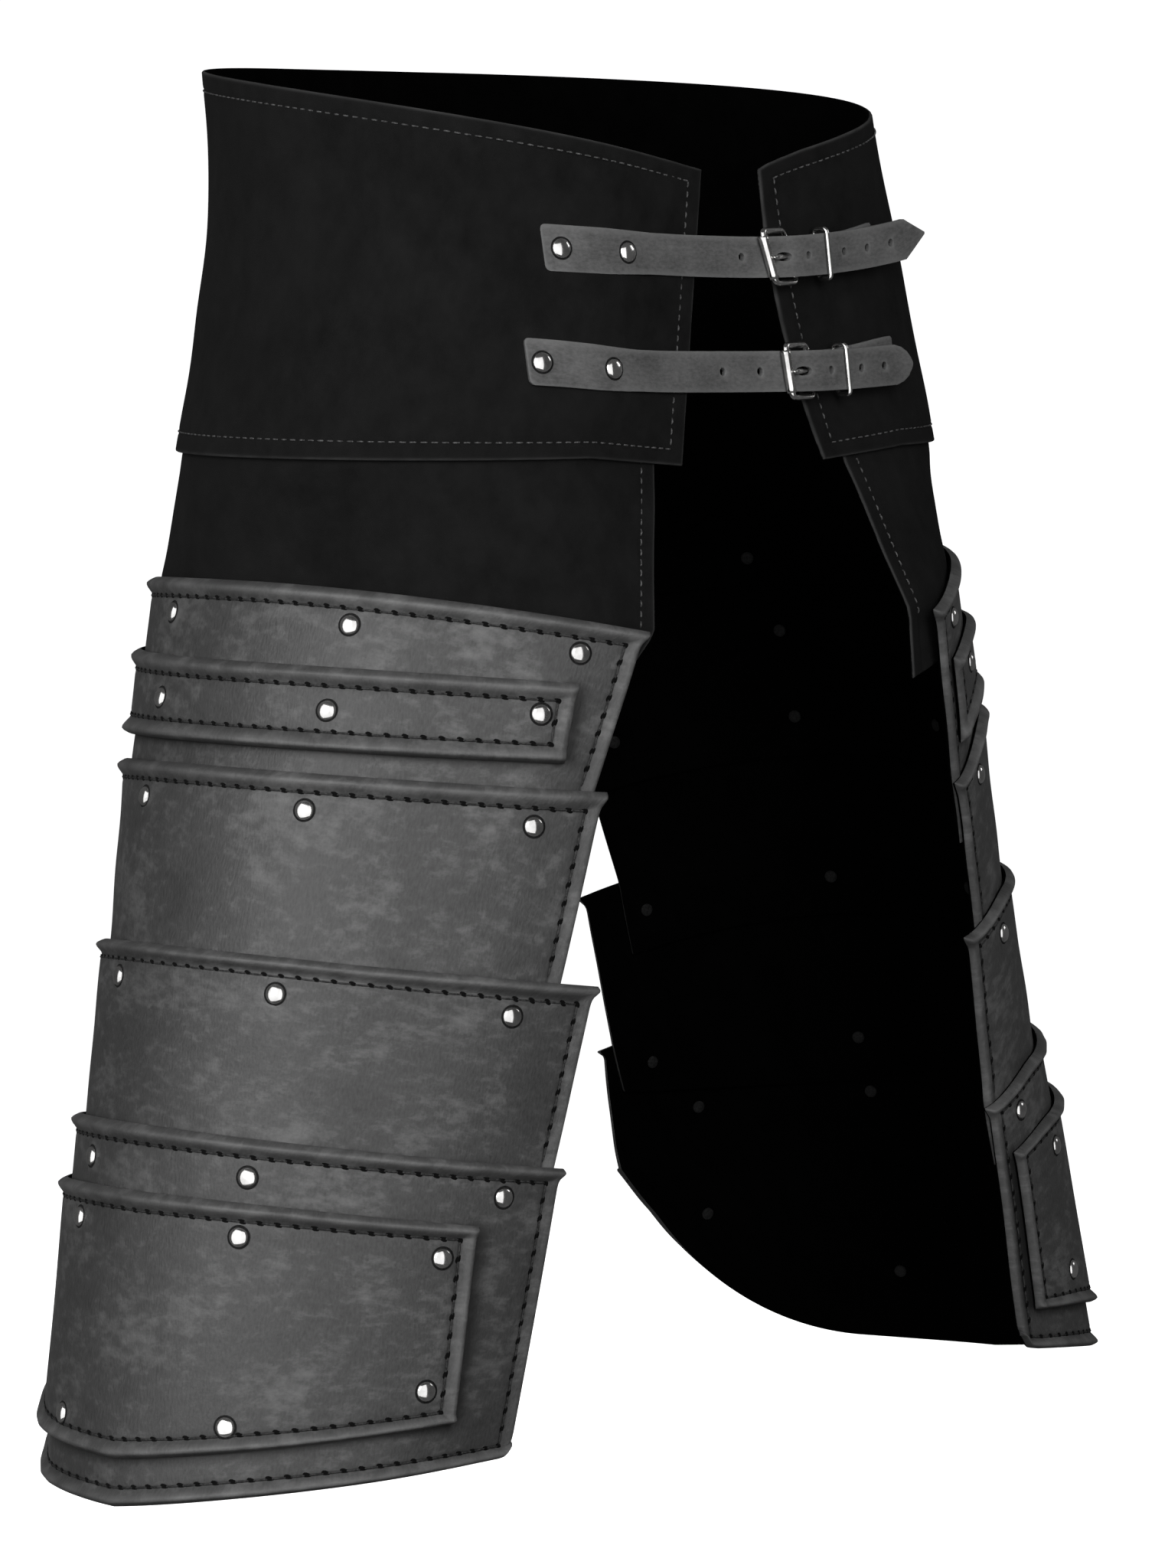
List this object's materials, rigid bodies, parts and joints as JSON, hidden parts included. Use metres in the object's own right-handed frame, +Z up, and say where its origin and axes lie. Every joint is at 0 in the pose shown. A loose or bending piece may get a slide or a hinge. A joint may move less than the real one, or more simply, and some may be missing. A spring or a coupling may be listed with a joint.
{
  "type": "pair of leather tassets on a waistband",
  "caption": "Pair of laminated leather thigh guards hung from a buckled suede waistband, in the curved form they take when worn.",
  "frame": {"origin": "centre of the waist opening, halfway up the front of the waistband: where the band sits round the waist", "axes": "+Z up the wearer's body; -Y the way the wearer faces; +X towards the wearer's left"},
  "size_m": [0.6289, 0.2955, 0.652],
  "materials": {
    "suede": "near-black suede, very matt",
    "plate_leather": "dark grey smooth leather, cloudy, satin",
    "strap_leather": "dark grey leather, matt, fuzzy cut edges",
    "nickel": "polished nickel plate"
  },
  "bodies": {
    "root": {"band_overlay_left": "plate_leather", "band_overlay_right": "plate_leather", "buckle_lower": "nickel", "buckle_strap_lower": "strap_leather", "buckle_strap_upper": "strap_leather", "buckle_upper": "nickel", "keeper_lower": "nickel", "keeper_upper": "nickel", "lame_a_left": "plate_leather", "lame_a_right": "plate_leather", "lame_b_left": "plate_leather", "lame_b_right": "plate_leather", "lame_c_left": "plate_leather", "lame_c_right": "plate_leather", "lame_d_left": "plate_leather", "lame_d_right": "plate_leather", "panel_overlay_left": "plate_leather", "panel_overlay_right": "plate_leather", "prong_lower": "nickel", "prong_upper": "nickel", "rivet_a1_left": "nickel", "rivet_a1_right": "nickel", "rivet_a2_left": "nickel", "rivet_a2_right": "nickel", "rivet_a3_left": "nickel", "rivet_a3_right": "nickel", "rivet_a4_left": "nickel", "rivet_a4_right": "nickel", "rivet_b1_left": "nickel", "rivet_b1_right": "nickel", "rivet_b2_left": "nickel", "rivet_b2_right": "nickel", "rivet_b3_left": "nickel", "rivet_b3_right": "nickel", "rivet_b4_left": "nickel", "rivet_b4_right": "nickel", "rivet_c1_left": "nickel", "rivet_c1_right": "nickel", "rivet_c2_left": "nickel", "rivet_c2_right": "nickel", "rivet_c3_left": "nickel", "rivet_c3_right": "nickel", "rivet_c4_left": "nickel", "rivet_c4_right": "nickel", "rivet_d1_left": "nickel", "rivet_d1_right": "nickel", "rivet_d2_left": "nickel", "rivet_d2_right": "nickel", "rivet_d3_left": "nickel", "rivet_d3_right": "nickel", "rivet_d4_left": "nickel", "rivet_d4_right": "nickel", "skirt_left": "suede", "skirt_right": "suede", "strap_lower": "strap_leather", "strap_upper": "strap_leather", "waistband": "suede"}
  },
  "joints": []
}
